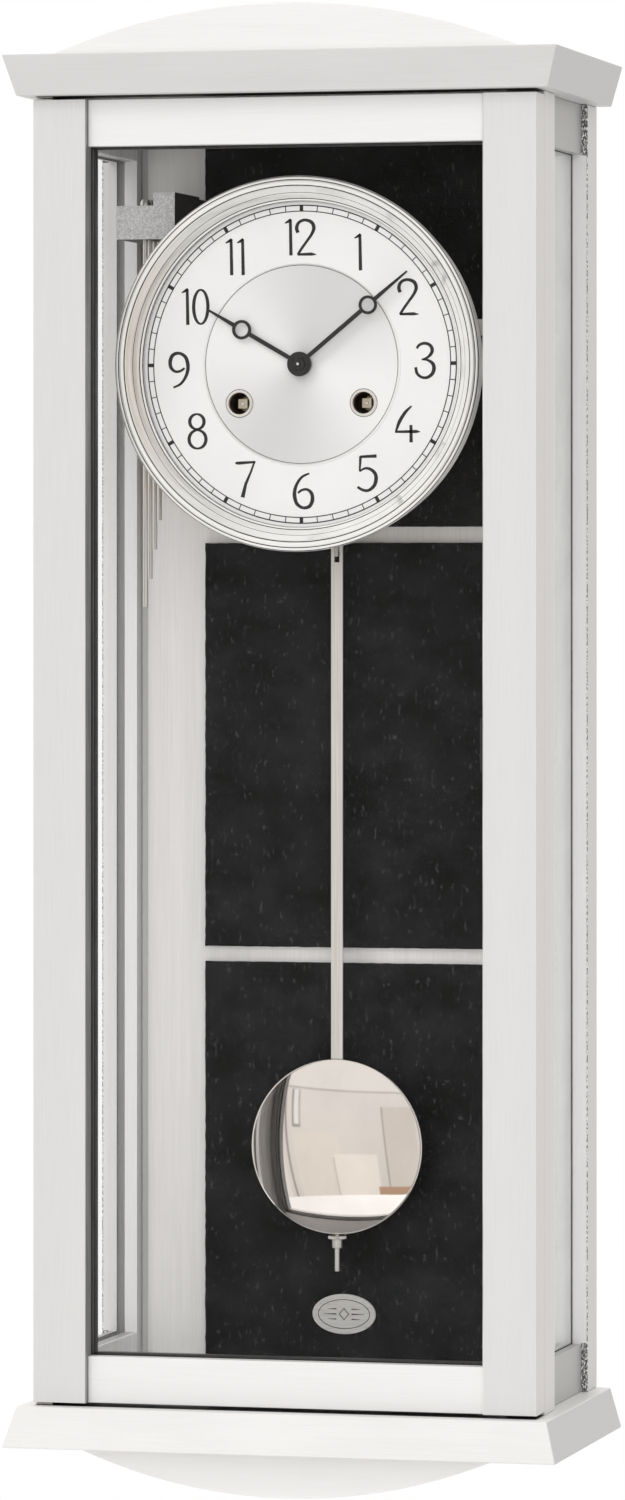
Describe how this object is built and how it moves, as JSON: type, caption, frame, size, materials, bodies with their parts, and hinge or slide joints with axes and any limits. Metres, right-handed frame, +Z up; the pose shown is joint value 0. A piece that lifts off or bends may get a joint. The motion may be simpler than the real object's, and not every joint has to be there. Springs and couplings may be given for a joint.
{
  "type": "pendulum wall clock",
  "caption": "Glazed wall clock case with a hinged door, a round dial with two hands, a spring-wound movement, a rod gong and a swinging pendulum with an adjustable bob.",
  "frame": {"origin": "on the wall plane, straight behind the centre of the dial", "axes": "+X to the right as seen from the front, +Y into the wall, +Z up"},
  "size_m": [0.252, 0.1427, 0.6598],
  "materials": {
    "moulding_silver": "satin silver lacquer",
    "brushed_silver": "faced with finely brushed silver laminate",
    "board": "plain fibreboard",
    "brushed_sheet": "brushed upright",
    "slate": "fine riven slate, satin",
    "clear_glass": "clear, polished edges",
    "dial_silver": "spun silver",
    "bright_chrome": "polished",
    "steel": "bright drawn",
    "brass": "polished",
    "cast": "rough ground casting",
    "hand_black": "satin black",
    "catch_black": "matt"
  },
  "bodies": {
    "case": {"cornice": "moulding_silver", "base_moulding": "moulding_silver", "crest_board": "brushed_silver", "skirt_board": "brushed_silver", "front_post_left": "brushed_silver", "front_post_right": "brushed_silver", "rear_post_left": "brushed_silver", "rear_post_right": "brushed_silver", "side_rail_top_left": "brushed_silver", "side_rail_top_right": "brushed_silver", "side_rail_bottom_left": "brushed_silver", "side_rail_bottom_right": "brushed_silver", "side_glass_left": "clear_glass", "side_glass_right": "clear_glass", "back_board": "board", "hanger_plate": "steel", "back_facing": "brushed_sheet", "slate_bottom": "slate", "slate_middle": "slate", "slate_top": "slate", "badge": "dial_silver", "magnet_catch": "catch_black", "hinge_case_leaf_lower": "steel", "hinge_case_leaf_upper": "steel", "dial_plate": "dial_silver", "dial_drum": "steel", "bezel": "bright_chrome", "bezel_lug": "bright_chrome", "movement_front_plate": "brass", "movement_rear_plate": "brass", "suspension_cock": "brass", "gong_block": "cast", "gong_rod_1": "steel", "gong_rod_2": "steel", "gong_rod_3": "steel", "gong_rod_4": "steel"},
    "door": {"door_stile_left": "brushed_silver", "door_stile_right": "brushed_silver", "door_rail_bottom": "brushed_silver", "door_rail_top": "brushed_silver", "door_glass": "clear_glass", "strike_plate": "steel", "hinge_door_leaf_lower": "steel", "hinge_door_leaf_upper": "steel"},
    "minute": {"minute_hand": "hand_black", "hand_nut": "hand_black", "centre_arbor": "brass"},
    "hour": {"hour_hand": "hand_black"},
    "time_drum": {"time_barrel": "brass"},
    "strike_drum": {"strike_barrel": "brass"},
    "time_winding": {"time_winding_arbor": "steel"},
    "strike_winding": {"strike_winding_arbor": "steel"},
    "escapement_wheel": {"escape_wheel": "brass"},
    "escapement_verge": {"verge": "steel"},
    "hammer": {"strike_hammer": "steel"},
    "pendulum": {"pendulum_leader": "steel", "pendulum_rod": "steel"},
    "pendulum_bob": {"bob": "bright_chrome"},
    "regulating_nut": {"rating_nut": "steel"}
  },
  "joints": [
    {"name": "door_hinge", "type": "hinge", "parent": "case", "child": "door", "pos_m": [-0.112, -0.1159, -0.1708], "axis": [0, 0, -1], "range_deg": [0, 95]},
    {"name": "minute_arbor", "type": "hinge", "parent": "case", "child": "minute", "pos_m": [0, -0.0996, 0], "axis": [0, 1, 0], "continuous": true},
    {"name": "hour_pipe", "type": "hinge", "parent": "case", "child": "hour", "pos_m": [0, -0.0996, 0], "axis": [0, 1, 0], "continuous": true},
    {"name": "time_barrel_turn", "type": "hinge", "parent": "case", "child": "time_drum", "pos_m": [0.0285, -0.063, -0.0173], "axis": [0, 1, 0], "continuous": true},
    {"name": "strike_barrel_turn", "type": "hinge", "parent": "case", "child": "strike_drum", "pos_m": [-0.0285, -0.063, -0.0173], "axis": [0, 1, 0], "continuous": true},
    {"name": "time_winding_turn", "type": "hinge", "parent": "case", "child": "time_winding", "pos_m": [0.0285, -0.09, -0.0173], "axis": [0, 1, 0], "continuous": true},
    {"name": "strike_winding_turn", "type": "hinge", "parent": "case", "child": "strike_winding", "pos_m": [-0.0285, -0.09, -0.0173], "axis": [0, 1, 0], "continuous": true},
    {"name": "escape_wheel_turn", "type": "hinge", "parent": "case", "child": "escapement_wheel", "pos_m": [0, -0.06, 0.022], "axis": [0, 1, 0], "continuous": true},
    {"name": "verge_rock", "type": "hinge", "parent": "case", "child": "escapement_verge", "pos_m": [0, -0.06, 0.0392], "axis": [0, 1, 0], "range_deg": [-5, 5]},
    {"name": "hammer_lift", "type": "hinge", "parent": "case", "child": "hammer", "pos_m": [-0.045, -0.06, 0.0342], "axis": [0, 1, 0], "range_deg": [0, 10]},
    {"name": "pendulum_swing", "type": "hinge", "parent": "case", "child": "pendulum", "pos_m": [0, -0.0305, 0.0392], "axis": [0, 1, 0], "range_deg": [-5, 5]},
    {"name": "bob_height", "type": "slide", "parent": "pendulum", "child": "pendulum_bob", "axis": [0, 0, 1], "range_m": [-0.004, 0.004]},
    {"name": "rating_nut_turn", "type": "hinge", "parent": "pendulum_bob", "child": "regulating_nut", "pos_m": [0, -0.0305, -0.3966], "axis": [0, 0, 1], "range_deg": [-3300, 3300]}
  ],
  "couplings": [
    {"joint": "hour_pipe", "follows": "minute_arbor", "ratio": 0.083333},
    {"joint": "time_barrel_turn", "follows": "minute_arbor", "ratio": 0.033333},
    {"joint": "verge_rock", "follows": "pendulum_swing", "ratio": 1},
    {"joint": "rating_nut_turn", "follows": "bob_height", "rad_per_m": 13963}
  ]
}
